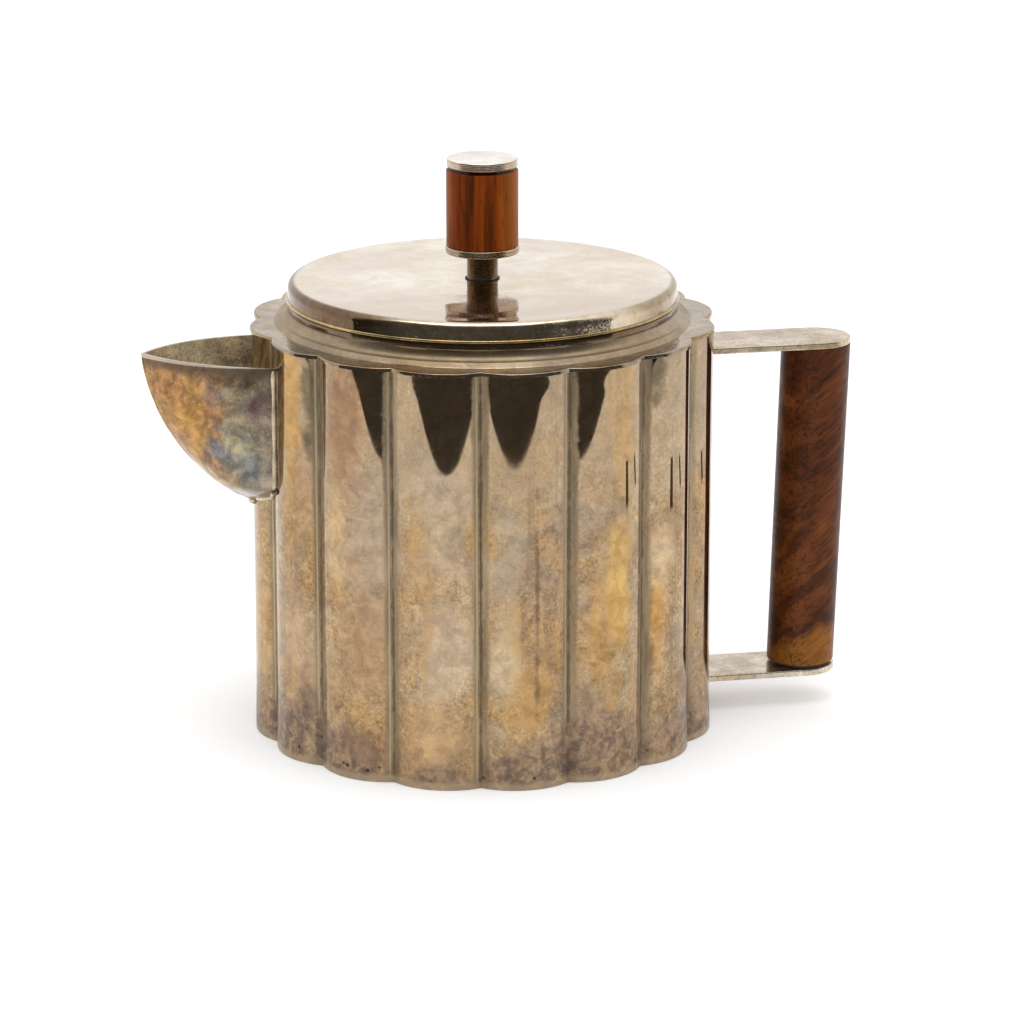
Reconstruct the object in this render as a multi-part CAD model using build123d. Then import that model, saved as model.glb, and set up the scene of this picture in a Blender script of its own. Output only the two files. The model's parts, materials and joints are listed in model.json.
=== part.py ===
from build123d import *
import math
import os

# Fluted silver-plated teapot with a lift-off lid, a beak spout and a wooden grip and knob.
# Millimetres. The origin is the centre of the flat base, +Z is up,
# the spout points to -X and the handle to +X.

# ---- Body: a straight wall of round lobes -------------------------------------------------
LOBES = 16
BODY_R = 58.0            # over the crests of the lobes
LOBE_R = 16.95           # radius of one lobe's arc
GROOVE_R = 0.45          # fillet in the groove between two lobes
SHEET = 1.0              # sheet thickness of wall and shoulder
SHOULDER_Z = 104.0       # upper face of the shoulder plate
SHOULDER_EDGE = 0.35     # rounding of the scalloped edge
BASE_T = 1.2
BASE_GAP = 0.05          # solder gap between wall and base plate

# ---- Neck ring: sloping step, cove and upright collar --------------------------------------
NECK_FOOT_R = 51.8
STEP_R = 50.3
STEP_H = 1.1
STEP_TOP_W = 0.33        # flat on top of the step
COVE_H = 2.6
COVE_MID_W = 0.25        # the cove's middle point, as shares of its width
COVE_MID_H = 0.3         # and of its height
NECK_R = 48.4
NECK_T = 1.0
LID_SEAT_Z = 109.0       # top of the neck, where the lid rests

# ---- Strainer: holes through the lobe behind the spout -------------------------------------
HOLE_D = 2.6
HOLE_PITCH_Y = 4.0
HOLE_PITCH_Z = 4.5
HOLE_COLUMNS = 5
HOLE_ROWS = 5
HOLE_LOW_Z = 69.0

# ---- Spout: two curved panels that meet in a keel ------------------------------------------
KEEL_R = 49.17           # radius of the keel's arc, in the XZ plane
KEEL_CENTRE_X = -36.16
KEEL_CENTRE_Z = 103.97
SPOUT_ROOT_X = -51.26    # where the panels run parallel to X, inside the wall's crest line
SPOUT_HALF_W = 18.0      # half width at the root
SPOUT_FOOT_Z = 59.6      # where the keel meets the wall
SPOUT_CORNER_Z = 68.5    # above this the panels have their full width
SPOUT_CORNER_BEND = 1.6  # 1 makes the lower corner a straight diagonal, more rounds it
SPOUT_RIM_Z = 98.0       # rim height at the wall
SPOUT_TIP_Z = 98.9       # rim height at the tip
SPOUT_BLUNT = 0.6        # the panels start this far above the foot
SPOUT_SIDE_T = 0.81      # sheet thickness, measured across the section
SPOUT_KEEL_T = 0.63      # sheet thickness, measured up from the keel
SPOUT_LEVELS = 14        # sections that shape the spout
SPOUT_CROWDING = 1.6     # above 1 the sections crowd towards the foot

# ---- Handle --------------------------------------------------------------------------------
STRAP_T = 1.6
STRAP_W = 17.4
STRAP_EDGE = 0.3
STRAP_ROOT_X = 50.0      # the strap's blank starts here and is trimmed to the wall
TOP_STRAP_Z = 95.4       # upper face
LOW_STRAP_Z = 9.6        # upper face
TOP_GRIP_X = 85.5        # grip's centre at the upper strap
LOW_GRIP_X = 82.8        # grip's centre at the lower strap
GRIP_TOP_R = 8.7
GRIP_LOW_R = 8.5
GRIP_EDGE = 0.3
ROD_R = 3.0
ROD_BORE_GAP = 0.12
WASHER_T = 0.9
WASHER_R = 7.6
NUT_R = 4.6
NUT_H = 1.0
NUT_SLOT_W = 1.0
NUT_SLOT_D = 0.5

# ---- Lid -----------------------------------------------------------------------------------
LID_R = 48.2
LID_TOP_Z = 114.0
LID_SHEET = 0.9
LID_EDGE_R = 1.9         # rolled upper edge
RIM_R = 48.65
RIM_H = 0.9
RIM_ROUND = 0.405        # rounding of the rim wire's outer side
FLANGE_R = 47.05
FLANGE_T = 0.9
FLANGE_LOW_Z = 102.0
FLANGE_FOOT_W = 3.4      # turned-in foot soldered under the lid
FLANGE_BEVEL = 1.1       # clears the rolled edge inside the lid

# ---- Knob ----------------------------------------------------------------------------------
STEM_R = 3.9             # over the thread
STEM_CORE_R = 3.6
THREAD_PITCH = 0.6
THREAD_DEPTH = 0.25
STEM_GAP = 0.03          # between the stem and what is screwed on it
SHIM_R = 4.3
SHIM_T = 0.25
DISC_R = 9.1
DISC_LOW_Z = 120.6
DISC_T = 1.8
DISC_EDGE = 0.4
BARREL_R = 8.9
BARREL_H = 19.0
BARREL_EDGE = 0.3
BARREL_BORE_R = 3.95     # loose on the stem's plain core
CAP_R = 8.75
CAP_T = 2.1
CAP_LOW_Z = 142.2
CAP_EDGE = 0.35
CAP_SKIN = 0.8           # metal left above the stem's blind hole
LID_NUT_AF = 13.0        # across flats
LID_NUT_H = 3.5
LID_WASHER_R = 8.0
LID_WASHER_T = 1.0
STEM_TAIL = 1.2          # stem showing below the nut

TALL = 400.0             # longer than the whole pot, for cutting blocks
HOLE_PUNCH = 12.0        # length of the strainer punch
BAR_SPARE = 2.0          # extra length of a leaning bar, cut off level
CUT_SPARE = 1.0          # how far a cutter reaches past the metal
THREAD_SPARE = 0.1       # how far a thread cutter reaches past the crest


def polar(radius, degrees):
    """Point in the XY plane."""
    angle = math.radians(degrees)
    return Vector(radius * math.cos(angle), radius * math.sin(angle))


def fluted_face(inset=0.0):
    """Plan outline of the lobed body, offset inwards by inset."""
    step = 360.0 / LOBES
    half = step / 2.0
    lobe_centre_r = BODY_R - LOBE_R
    half_chord = lobe_centre_r * math.sin(math.radians(half))
    reach = math.sqrt((LOBE_R + GROOVE_R) ** 2 - half_chord ** 2)
    fillet_centre_r = lobe_centre_r * math.cos(math.radians(half)) + reach
    lobe_r = LOBE_R - inset
    edges = []
    for i in range(LOBES):
        crest = i * step
        lobe_centre = polar(lobe_centre_r, crest)
        before = polar(fillet_centre_r, crest - half)
        after = polar(fillet_centre_r, crest + half)
        start = lobe_centre + (before - lobe_centre).normalized() * lobe_r
        end = lobe_centre + (after - lobe_centre).normalized() * lobe_r
        next_centre = polar(lobe_centre_r, crest + step)
        next_start = next_centre + (after - next_centre).normalized() * lobe_r
        groove = polar(fillet_centre_r - GROOVE_R - inset, crest + half)
        edges.append(ThreePointArc(start, polar(BODY_R - inset, crest), end))
        edges.append(ThreePointArc(end, groove, next_start))
    return make_face(edges)


def fluted_block(low, high, inset=0.0):
    return Pos(0, 0, low) * extrude(fluted_face(inset), amount=high - low)


def tube(outer, inner, low, high):
    ring = Circle(outer) - Circle(inner)
    return Pos(0, 0, low) * extrude(ring, amount=high - low)


def disc(radius, low, high):
    return Pos(0, 0, low) * extrude(Circle(radius), amount=high - low)


def turned(points):
    """Solid of revolution about Z from a closed outline of (radius, height) points."""
    outline = make_face(Polyline(*[(r, 0, z) for r, z in points], close=True))
    return revolve(outline, axis=Axis.Z)


def slab(low, high):
    """Everything between two heights."""
    return Pos(0, 0, (low + high) / 2) * Box(TALL, TALL, high - low)


# ---- Body pieces ---------------------------------------------------------------------------
def make_body_wall():
    top = SHOULDER_Z - SHEET
    wall = fluted_block(0, top) - fluted_block(0, top, SHEET)
    punch = Rot(0, 90, 0) * Cylinder(HOLE_D / 2, HOLE_PUNCH)
    for row in range(HOLE_ROWS):
        for column in range(HOLE_COLUMNS):
            y = (column - (HOLE_COLUMNS - 1) / 2) * HOLE_PITCH_Y
            z = HOLE_LOW_Z + row * HOLE_PITCH_Z
            wall -= Pos(-BODY_R, y, z) * punch
    return wall


def make_base_plate():
    return fluted_block(0, BASE_T, SHEET + BASE_GAP)


def make_shoulder_plate():
    plate = fluted_block(SHOULDER_Z - SHEET, SHOULDER_Z)
    rim = plate.edges().group_by(Axis.Z)[-1]
    plate = fillet(rim, SHOULDER_EDGE)
    return plate - disc(NECK_R - NECK_T, SHOULDER_Z - SHEET, SHOULDER_Z)


def make_neck_ring():
    step_z = SHOULDER_Z + STEP_H
    cove_z = step_z + COVE_H
    cove_mid = (NECK_R + (STEP_R - NECK_R) * COVE_MID_W, 0, step_z + COVE_H * COVE_MID_H)
    bore = NECK_R - NECK_T
    step_edge = STEP_R + STEP_TOP_W
    outline = [
        Line((bore, 0, SHOULDER_Z), (NECK_FOOT_R, 0, SHOULDER_Z)),
        Line((NECK_FOOT_R, 0, SHOULDER_Z), (step_edge, 0, step_z)),
        Line((step_edge, 0, step_z), (STEP_R, 0, step_z)),
        ThreePointArc((STEP_R, 0, step_z), cove_mid, (NECK_R, 0, cove_z)),
        Line((NECK_R, 0, cove_z), (NECK_R, 0, LID_SEAT_Z)),
        Line((NECK_R, 0, LID_SEAT_Z), (bore, 0, LID_SEAT_Z)),
        Line((bore, 0, LID_SEAT_Z), (bore, 0, SHOULDER_Z)),
    ]
    return revolve(make_face(outline), axis=Axis.Z)


def spout_section(z, inset=0.0):
    """Half of the spout's plan section at a height, on the +Y side of the keel."""
    drop = KEEL_CENTRE_Z - z
    keel_x = KEEL_CENTRE_X - math.sqrt(KEEL_R ** 2 - drop ** 2) + inset
    half_w = SPOUT_HALF_W
    if z < SPOUT_CORNER_Z:
        corner = (SPOUT_CORNER_Z - z) / (SPOUT_CORNER_Z - SPOUT_FOOT_Z)
        half_w *= 1 - corner ** SPOUT_CORNER_BEND
    half_w -= inset
    length = SPOUT_ROOT_X - keel_x
    radius = (length ** 2 + half_w ** 2) / (2 * half_w)
    turn = math.asin(length / radius) / 2
    middle = (SPOUT_ROOT_X - radius * math.sin(turn), half_w - radius * (1 - math.cos(turn)))
    keel = (keel_x, 0)
    root = (SPOUT_ROOT_X, half_w)
    outline = [
        ThreePointArc(keel, middle, root),
        Line(root, (SPOUT_ROOT_X, 0)),
        Line((SPOUT_ROOT_X, 0), keel),
    ]
    return Pos(0, 0, z) * make_face(outline)


def spout_half_solid(inset, lift):
    """Solid half beak; the inner one is inset from the sides and lifted off the keel."""
    low = SPOUT_FOOT_Z + SPOUT_BLUNT
    high = KEEL_CENTRE_Z
    sections = []
    for i in range(SPOUT_LEVELS):
        share = i / (SPOUT_LEVELS - 1)
        z = low + (high - low) * share ** SPOUT_CROWDING
        sections.append(Pos(0, 0, lift) * spout_section(z, inset))
    return loft(sections)


def make_spout_panels():
    """Left (+Y) and right (-Y) panels, trimmed to the wall and to the sloping rim."""
    half = spout_half_solid(0.0, 0.0) - spout_half_solid(SPOUT_SIDE_T, SPOUT_KEEL_T)
    half -= fluted_block(0, SHOULDER_Z)
    tip_x = KEEL_CENTRE_X - KEEL_R
    slope = math.atan2(SPOUT_TIP_Z - SPOUT_RIM_Z, -BODY_R - tip_x)
    above = Rot(0, math.degrees(slope), 0) * Pos(0, 0, TALL / 2) * Box(TALL, TALL, TALL)
    half -= Pos(-BODY_R, 0, SPOUT_RIM_Z) * above
    left = max(half.solids(), key=lambda piece: piece.volume)
    return left, mirror(left, about=Plane.XZ)


# ---- Handle pieces -------------------------------------------------------------------------
def grip_axis_x(z):
    """X of the grip's slightly leaning centre line at a height."""
    low = LOW_STRAP_Z
    high = TOP_STRAP_Z - STRAP_T
    return LOW_GRIP_X + (TOP_GRIP_X - LOW_GRIP_X) * (z - low) / (high - low)


def leaning_cone(low_r, high_r, low, high):
    """Round bar along the grip's centre line, with level ends."""
    start = Vector(grip_axis_x(low), 0, low)
    end = Vector(grip_axis_x(high), 0, high)
    run = end - start
    flare = (high_r - low_r) / run.length
    frame = Plane(origin=start - run.normalized() * BAR_SPARE, z_dir=run.normalized())
    first = frame * Circle(low_r - flare * BAR_SPARE)
    bar = extrude(first, amount=run.length + 2 * BAR_SPARE, taper=-math.degrees(math.atan(flare)))
    return bar & slab(low, high)


def strap(top_z, end_x):
    """Flat strap with a round outer end, trimmed to the fluted wall."""
    length = end_x - STRAP_ROOT_X
    outline = Pos(STRAP_ROOT_X + length / 2, 0) * Rectangle(length, STRAP_W)
    outline += Pos(end_x, 0) * Circle(STRAP_W / 2)
    blank = Pos(0, 0, top_z - STRAP_T) * extrude(outline, amount=STRAP_T)
    level_edges = blank.edges().group_by(Axis.Z)
    blank = fillet(level_edges[0] + level_edges[-1], STRAP_EDGE)
    return blank - fluted_block(0, SHOULDER_Z)


def make_strap_bottom():
    low = LOW_STRAP_Z - STRAP_T - CUT_SPARE
    high = LOW_STRAP_Z + CUT_SPARE
    hole_r = ROD_R + ROD_BORE_GAP
    return strap(LOW_STRAP_Z, LOW_GRIP_X) - leaning_cone(hole_r, hole_r, low, high)


def make_grip():
    low = LOW_STRAP_Z + WASHER_T
    high = TOP_STRAP_Z - STRAP_T
    grip = leaning_cone(GRIP_LOW_R, GRIP_TOP_R, low, high)
    ends = grip.edges().group_by(Axis.Z)
    grip = fillet(ends[0] + ends[-1], GRIP_EDGE)
    bore_r = ROD_R + ROD_BORE_GAP
    return grip - leaning_cone(bore_r, bore_r, low - CUT_SPARE, high + CUT_SPARE)


def make_rod():
    return leaning_cone(ROD_R, ROD_R, LOW_STRAP_Z - STRAP_T - NUT_H, TOP_STRAP_Z - STRAP_T)


def make_grip_washer():
    bore_r = ROD_R + ROD_BORE_GAP
    low = LOW_STRAP_Z
    high = LOW_STRAP_Z + WASHER_T
    return leaning_cone(WASHER_R, WASHER_R, low, high) - leaning_cone(bore_r, bore_r, low, high)


def make_handle_nut():
    high = LOW_STRAP_Z - STRAP_T
    low = high - NUT_H
    x = grip_axis_x((low + high) / 2)
    nut = Pos(x, 0, 0) * disc(NUT_R, low, high)
    nut = fillet(nut.edges().group_by(Axis.Z)[0], GRIP_EDGE)
    slot = Pos(x, 0, low + NUT_SLOT_D / 2) * Box(2 * NUT_R, NUT_SLOT_W, NUT_SLOT_D)
    bore_r = ROD_R + ROD_BORE_GAP
    return nut - slot - leaning_cone(bore_r, bore_r, low - CUT_SPARE, high + CUT_SPARE)


# ---- Lid pieces ----------------------------------------------------------------------------
def make_lid_pan():
    low = LID_SEAT_Z + RIM_H
    shell = disc(LID_R, low, LID_TOP_Z)
    shell = fillet(shell.edges().group_by(Axis.Z)[-1], LID_EDGE_R)
    hollow = disc(LID_R - LID_SHEET, low, LID_TOP_Z - LID_SHEET)
    hollow = fillet(hollow.edges().group_by(Axis.Z)[-1], LID_EDGE_R - LID_SHEET)
    return shell - hollow - disc(STEM_R + STEM_GAP, low, LID_TOP_Z)


def make_rim_band():
    band = tube(RIM_R, LID_R - LID_SHEET, LID_SEAT_Z, LID_SEAT_Z + RIM_H)
    outer = band.faces().filter_by(GeomType.CYLINDER).sort_by(SortBy.RADIUS)[-1]
    return fillet(outer.edges().filter_by(GeomType.CIRCLE), RIM_ROUND)


def make_flange():
    """Ring that drops inside the neck, with a turned-in foot against the lid's underside."""
    top = LID_TOP_Z - LID_SHEET
    inner = FLANGE_R - FLANGE_T
    foot = FLANGE_R - FLANGE_FOOT_W
    return turned([
        (inner, FLANGE_LOW_Z),
        (FLANGE_R, FLANGE_LOW_Z),
        (FLANGE_R, top - FLANGE_BEVEL),
        (FLANGE_R - FLANGE_BEVEL, top),
        (foot, top),
        (foot, top - FLANGE_T),
        (inner, top - FLANGE_T),
    ])


# ---- Knob pieces ---------------------------------------------------------------------------
def make_stem():
    """Threaded stem: thread as ring grooves, plain core inside the barrel, threaded top."""
    nut_low = LID_TOP_Z - LID_SHEET - LID_WASHER_T - LID_NUT_H
    low = nut_low - STEM_TAIL
    high = CAP_LOW_Z + CAP_T - CAP_SKIN
    stem = disc(STEM_CORE_R, low, high)
    stem += disc(STEM_R, low, DISC_LOW_Z + DISC_T)
    stem += disc(STEM_R, CAP_LOW_Z, high)
    first = LID_TOP_Z + SHIM_T
    turns = int((DISC_LOW_Z - first) / THREAD_PITCH)
    root = STEM_R - THREAD_DEPTH
    crest = STEM_R + THREAD_SPARE
    for i in range(turns):
        z = first + i * THREAD_PITCH
        groove = [(root, z + THREAD_PITCH / 2), (crest, z), (crest, z + THREAD_PITCH)]
        stem -= turned(groove)
    return stem


def screwed_disc(radius, low, height, edge):
    """Round disc with softened rims."""
    blank = disc(radius, low, low + height)
    return fillet(blank.edges().filter_by(GeomType.CIRCLE), edge)


def make_knob_disc():
    bore = disc(STEM_R + STEM_GAP, DISC_LOW_Z, DISC_LOW_Z + DISC_T)
    return screwed_disc(DISC_R, DISC_LOW_Z, DISC_T, DISC_EDGE) - bore


def make_knob_cap():
    blind = disc(STEM_R + STEM_GAP, CAP_LOW_Z, CAP_LOW_Z + CAP_T - CAP_SKIN)
    return screwed_disc(CAP_R, CAP_LOW_Z, CAP_T, CAP_EDGE) - blind


def make_barrel():
    low = DISC_LOW_Z + DISC_T
    blank = screwed_disc(BARREL_R, low, BARREL_H, BARREL_EDGE)
    return blank - disc(BARREL_BORE_R, low, low + BARREL_H)


def make_shim():
    return tube(SHIM_R, STEM_R + STEM_GAP, LID_TOP_Z, LID_TOP_Z + SHIM_T)


def make_lid_washer():
    high = LID_TOP_Z - LID_SHEET
    return tube(LID_WASHER_R, STEM_R + STEM_GAP, high - LID_WASHER_T, high)


def make_lid_nut():
    high = LID_TOP_Z - LID_SHEET - LID_WASHER_T
    hexagon = RegularPolygon(LID_NUT_AF / 2, 6, major_radius=False)
    blank = Pos(0, 0, high - LID_NUT_H) * extrude(hexagon, amount=LID_NUT_H)
    return blank - disc(STEM_R + STEM_GAP, high - LID_NUT_H, high)


left_panel, right_panel = make_spout_panels()
pieces = {
    "body_wall": make_body_wall(),
    "base_plate": make_base_plate(),
    "shoulder_plate": make_shoulder_plate(),
    "neck_ring": make_neck_ring(),
    "spout_panel_left": left_panel,
    "spout_panel_right": right_panel,
    "handle_strap_top": strap(TOP_STRAP_Z, TOP_GRIP_X),
    "handle_strap_bottom": make_strap_bottom(),
    "handle_grip": make_grip(),
    "handle_rod": make_rod(),
    "grip_washer": make_grip_washer(),
    "handle_nut": make_handle_nut(),
    "lid_pan": make_lid_pan(),
    "lid_rim_band": make_rim_band(),
    "lid_flange": make_flange(),
    "knob_stem": make_stem(),
    "stem_shim": make_shim(),
    "knob_disc": make_knob_disc(),
    "knob_barrel": make_barrel(),
    "knob_cap": make_knob_cap(),
    "lid_nut_washer": make_lid_washer(),
    "lid_nut": make_lid_nut(),
}

os.makedirs("parts", exist_ok=True)
for name, piece in pieces.items():
    piece.label = name
    export_step(piece, f"parts/{name}.step")
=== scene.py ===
import json
import math

import bmesh
import bpy
import numpy as np
from mathutils import Matrix, Vector


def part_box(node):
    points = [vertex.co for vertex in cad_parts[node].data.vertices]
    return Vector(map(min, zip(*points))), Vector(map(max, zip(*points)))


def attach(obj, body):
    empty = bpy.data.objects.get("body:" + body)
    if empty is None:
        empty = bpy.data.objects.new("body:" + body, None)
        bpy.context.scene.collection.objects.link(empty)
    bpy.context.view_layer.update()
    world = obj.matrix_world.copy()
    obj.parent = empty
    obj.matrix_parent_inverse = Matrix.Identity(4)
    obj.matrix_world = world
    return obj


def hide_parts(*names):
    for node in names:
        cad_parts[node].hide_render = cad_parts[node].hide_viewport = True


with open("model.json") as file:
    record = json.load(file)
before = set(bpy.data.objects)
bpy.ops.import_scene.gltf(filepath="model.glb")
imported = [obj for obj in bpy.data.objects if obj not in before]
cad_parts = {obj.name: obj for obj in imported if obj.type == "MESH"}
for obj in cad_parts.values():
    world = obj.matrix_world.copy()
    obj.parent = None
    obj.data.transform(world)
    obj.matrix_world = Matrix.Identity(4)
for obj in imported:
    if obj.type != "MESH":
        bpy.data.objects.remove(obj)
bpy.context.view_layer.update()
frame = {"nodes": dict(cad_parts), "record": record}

# Geometry is worked out in millimetres, in the part's own frame, and scaled on the way into a mesh.
MM = 0.001
FULL_TURN = 2 * math.pi

# ---- Counts ----
WAVE_COUNT = 9              # sine waves that make up one field of unevenness
ARC_POINTS = 26             # along each lobe of the fluted outline
GROOVE_POINTS = 5
LATHE_SIDES = 288           # round the neck and the lid
DISC_SIDES = 128
STEM_SIDES = 64
BEAD_SIDES = 12
SPOUT_ROWS = 60
SPOUT_COLUMNS = 44

# ---- Sizes that repeat the part's own ----
LOBES = 16
BODY_R = 58.0
LOBE_R = 16.95
GROOVE_R = 0.45
SHEET = 1.0
WALL_TOP = 103.0
SHOULDER_TOP = 104.0
HOLE_R = 1.3
HOLE_GRID = 5
HOLE_PITCH_Y = 4.0
HOLE_PITCH_Z = 4.5
HOLE_LOW_Z = 69.0
PUNCH_LENGTH = 12.0
NECK_BORE = 47.4
NECK_FOOT_R = 51.8
NECK_R = 48.4
COLLAR_TOP = 108.97         # just under the lid's seat, so that the two never touch
LID_SEAT = 109.0
LID_R = 48.2
LID_TOP = 114.0
LID_SHEET = 0.9
LID_EDGE_R = 1.9
RIM_TOP = 109.9
KEEL_R = 49.17
KEEL_CENTRE = (-36.16, 103.97)
SPOUT_ROOT_X = -51.26
SPOUT_HALF_W = 18.0
SPOUT_FOOT_Z = 59.6
SPOUT_CORNER_Z = 68.5
SPOUT_CORNER_BEND = 1.6
SPOUT_RIM_Z = 98.0
SPOUT_TIP_Z = 98.9
SPOUT_LOW_Z = 60.3
SPOUT_SUNK = 0.35           # how far the panels run into the wall
SPOUT_LINED_Z = 96.5        # faces that look up below this height are inside the spout
SPOUT_SIDE_T = 0.81
SPOUT_KEEL_T = 0.63
STEM_R = 3.9
STEM_CORE_R = 3.6
STEM_BORE = 3.93
THREAD_PITCH = 0.6
THREAD_DEPTH = 0.28
THREAD_LOW = 114.35
THREAD_STEP = 0.075         # height between the rings of points along the thread
DISC_R = 9.1
DISC_LOW, DISC_TOP = 120.6, 122.4
CAP_R = 8.75
CAP_LOW, CAP_TOP = 142.2, 144.3
CAP_BLIND = 143.5           # end of the stem's hole in the cap

# ---- Camera, in degrees and metres, and studio ----
CAMERA_AZIMUTH = -11.08
CAMERA_PITCH = 16.15
CAMERA_AT = (-0.1945, -1.0319, 0.3577)
CAMERA_LENS = 152.96
LAMP_AT = (-0.03, -0.16, 1.3)
LAMP_AIM = (0, 0, 0.06)
LAMP_SIZE = (1.2, 0.8)
LAMP_POWER = 5.0
WORLD_STRENGTH = 1.04
ROOM_R = 1.3
ROOM_Z = 0.1
# table, in millimetres to the right of the pot's axis and towards the camera
TABLE_REACH = 455
TABLE_DEPTH = 345
TABLE_SQUARENESS = 3.0      # of the superellipse that rounds its front edge
TABLE_HALF = 2200
TABLE_BACK = (-300, -3000)
BARS = {"bar_a": ((295, 24), (28, 14)), "bar_b": ((282, -82), (20, 9))}  # middle, half size


# ==== Meshes ====
def build(name, points, faces, body, slot, replaced=(), sharp=35, material=None):
    """A closed mesh from points in millimetres, riding on a body. Its slot's look is the default."""
    mesh = bpy.data.meshes.new(name)
    mesh.from_pydata((np.asarray(points).reshape(-1, 3) * MM).tolist(), [], faces)
    work = bmesh.new()
    work.from_mesh(mesh)
    bmesh.ops.remove_doubles(work, verts=work.verts, dist=1e-7)
    bmesh.ops.dissolve_degenerate(work, dist=1e-8, edges=work.edges)
    bmesh.ops.recalc_face_normals(work, faces=work.faces)
    work.to_mesh(mesh)
    work.free()
    mesh.shade_smooth()
    mesh.set_sharp_from_angle(angle=math.radians(sharp))
    mesh.materials.append(material or look[slot])
    piece = bpy.data.objects.new(name, mesh)
    bpy.context.scene.collection.objects.link(piece)
    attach(piece, body)
    if replaced:
        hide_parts(*replaced)
    return piece


def grid_faces(rows, columns, wrap_rows=False, wrap_columns=True):
    """Quads over a rows x columns grid of points."""
    faces = []
    for i in range(rows if wrap_rows else rows - 1):
        low = i * columns
        high = (i + 1) % rows * columns
        for j in range(columns if wrap_columns else columns - 1):
            k = (j + 1) % columns
            faces.append((low + j, low + k, high + k, high + j))
    return faces


def waves(points, seed, length, flat=(1, 1, 1)):
    """Smooth unevenness between about -1 and 1, from a sum of long sine waves in space."""
    random = np.random.default_rng(seed)
    total = np.zeros(points.shape[:-1])
    for _ in range(WAVE_COUNT):
        direction = random.normal(size=3) * np.array(flat)
        pitch = length * random.uniform(0.6, 1.8)
        total += np.sin(points @ direction * (FULL_TURN / pitch) + random.uniform(0, FULL_TURN))
    return total / math.sqrt(WAVE_COUNT)


def arc(centre, radius, start, end, count):
    """Points on an arc in the (radius, height) plane, angles in degrees."""
    angles = np.radians(np.linspace(start, end, count))
    return [(centre[0] + radius * math.cos(a), centre[1] + radius * math.sin(a)) for a in angles]


def arc_through(start, middle, end, count):
    """Points on the arc through three points."""
    (ax, ay), (bx, by), (cx, cy) = start, middle, end
    twice = 2 * (ax * (by - cy) + bx * (cy - ay) + cx * (ay - by))
    a2, b2, c2 = ax * ax + ay * ay, bx * bx + by * by, cx * cx + cy * cy
    x = (a2 * (by - cy) + b2 * (cy - ay) + c2 * (ay - by)) / twice
    y = (a2 * (cx - bx) + b2 * (ax - cx) + c2 * (bx - ax)) / twice
    first = math.degrees(math.atan2(ay - y, ax - x))
    last = math.degrees(math.atan2(cy - y, cx - x))
    if abs(last - first) > 180:
        last += math.copysign(360, first - last)
    return arc((x, y), math.hypot(ax - x, ay - y), first, last, count)


def run(start, end, count):
    """Evenly spaced points on a line, without its last one."""
    return [tuple(p) for p in np.linspace(start, end, count + 1)[:-1]]


def lathe(profile, segments):
    """(points, faces) of the ring that a closed (radius, height) outline sweeps about Z."""
    profile = np.array(profile)
    turn = np.linspace(0, FULL_TURN, segments, endpoint=False)
    radius, height = profile[:, :1], profile[:, 1:]
    points = np.stack([radius * np.cos(turn), radius * np.sin(turn), height + 0 * turn], -1)
    return points, grid_faces(len(profile), segments, wrap_rows=True)


def sweep(path, radii):
    """(points, faces) of a round bead along a path."""
    path = np.asarray(path, float)
    tangent = np.gradient(path, axis=0)
    tangent /= np.linalg.norm(tangent, axis=1)[:, None]
    across = np.cross(tangent[0], (0.31, 0.62, 0.72))
    rings = []
    turn = np.linspace(0, FULL_TURN, BEAD_SIDES, endpoint=False)[:, None]
    for point, along, radius in zip(path, tangent, radii):
        across = across - along * (across @ along)
        across /= np.linalg.norm(across)
        side = np.cross(along, across)
        rings.append(point + radius * (np.cos(turn) * across + np.sin(turn) * side))
    points = np.array(rings)
    return points, grid_faces(len(path), BEAD_SIDES)


def bead(name, path, radius, slot, material, seed, rough=0.18):
    """Solder bead: a lumpy round run that tapers to nothing at both ends."""
    path = np.asarray(path, float)
    share = np.linspace(0, 1, len(path))
    taper = np.clip(np.sin(math.pi * share) * 6, 0, 1) ** 0.5
    radii = radius * taper * (1 + rough * waves(path, seed, 6))
    points, faces = sweep(path, radii)
    build(name, points, faces, "pot", slot, material=material)


# ---- Fluted outline ----
def fluted_outline():
    """Arc centre, signed arc radius and outward normal of each point of the wall's plan outline."""
    half = math.pi / LOBES
    centre_r = BODY_R - LOBE_R
    reach = math.sqrt((LOBE_R + GROOVE_R) ** 2 - (centre_r * math.sin(half)) ** 2)
    fillet_r = centre_r * math.cos(half) + reach
    span = math.atan2(fillet_r * math.sin(half), fillet_r * math.cos(half) - centre_r)
    centres, radii, normals = [], [], []
    for i in range(LOBES):
        crest = 2 * half * i
        for a in np.linspace(-span, span, ARC_POINTS):
            centres.append((centre_r * math.cos(crest), centre_r * math.sin(crest)))
            radii.append(LOBE_R)
            normals.append((math.cos(crest + a), math.sin(crest + a)))
        middle = crest + half
        turn = span - half
        for a in np.linspace(turn, -turn, GROOVE_POINTS + 2)[1:-1]:
            centres.append((fillet_r * math.cos(middle), fillet_r * math.sin(middle)))
            radii.append(-GROOVE_R)
            normals.append((math.cos(middle + a), math.sin(middle + a)))
    return np.array(centres), np.array(radii)[:, None], np.array(normals)


OUT_CENTRE, OUT_RADIUS, OUT_NORMAL = fluted_outline()


def fluted_ring(inset, z):
    """The wall's outline at a height, drawn in by inset."""
    plan = OUT_CENTRE + (OUT_RADIUS - inset) * OUT_NORMAL
    return np.column_stack([plan, np.full(len(plan), z)])


def inside_wall(point, depth):
    """True if a plan point is at least depth inside the fluted outline."""
    step = FULL_TURN / LOBES
    crest = round(math.atan2(point[1], point[0]) / step) * step
    centre = np.array([math.cos(crest), math.sin(crest)]) * (BODY_R - LOBE_R)
    return np.linalg.norm(point - centre) < LOBE_R - depth


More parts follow.
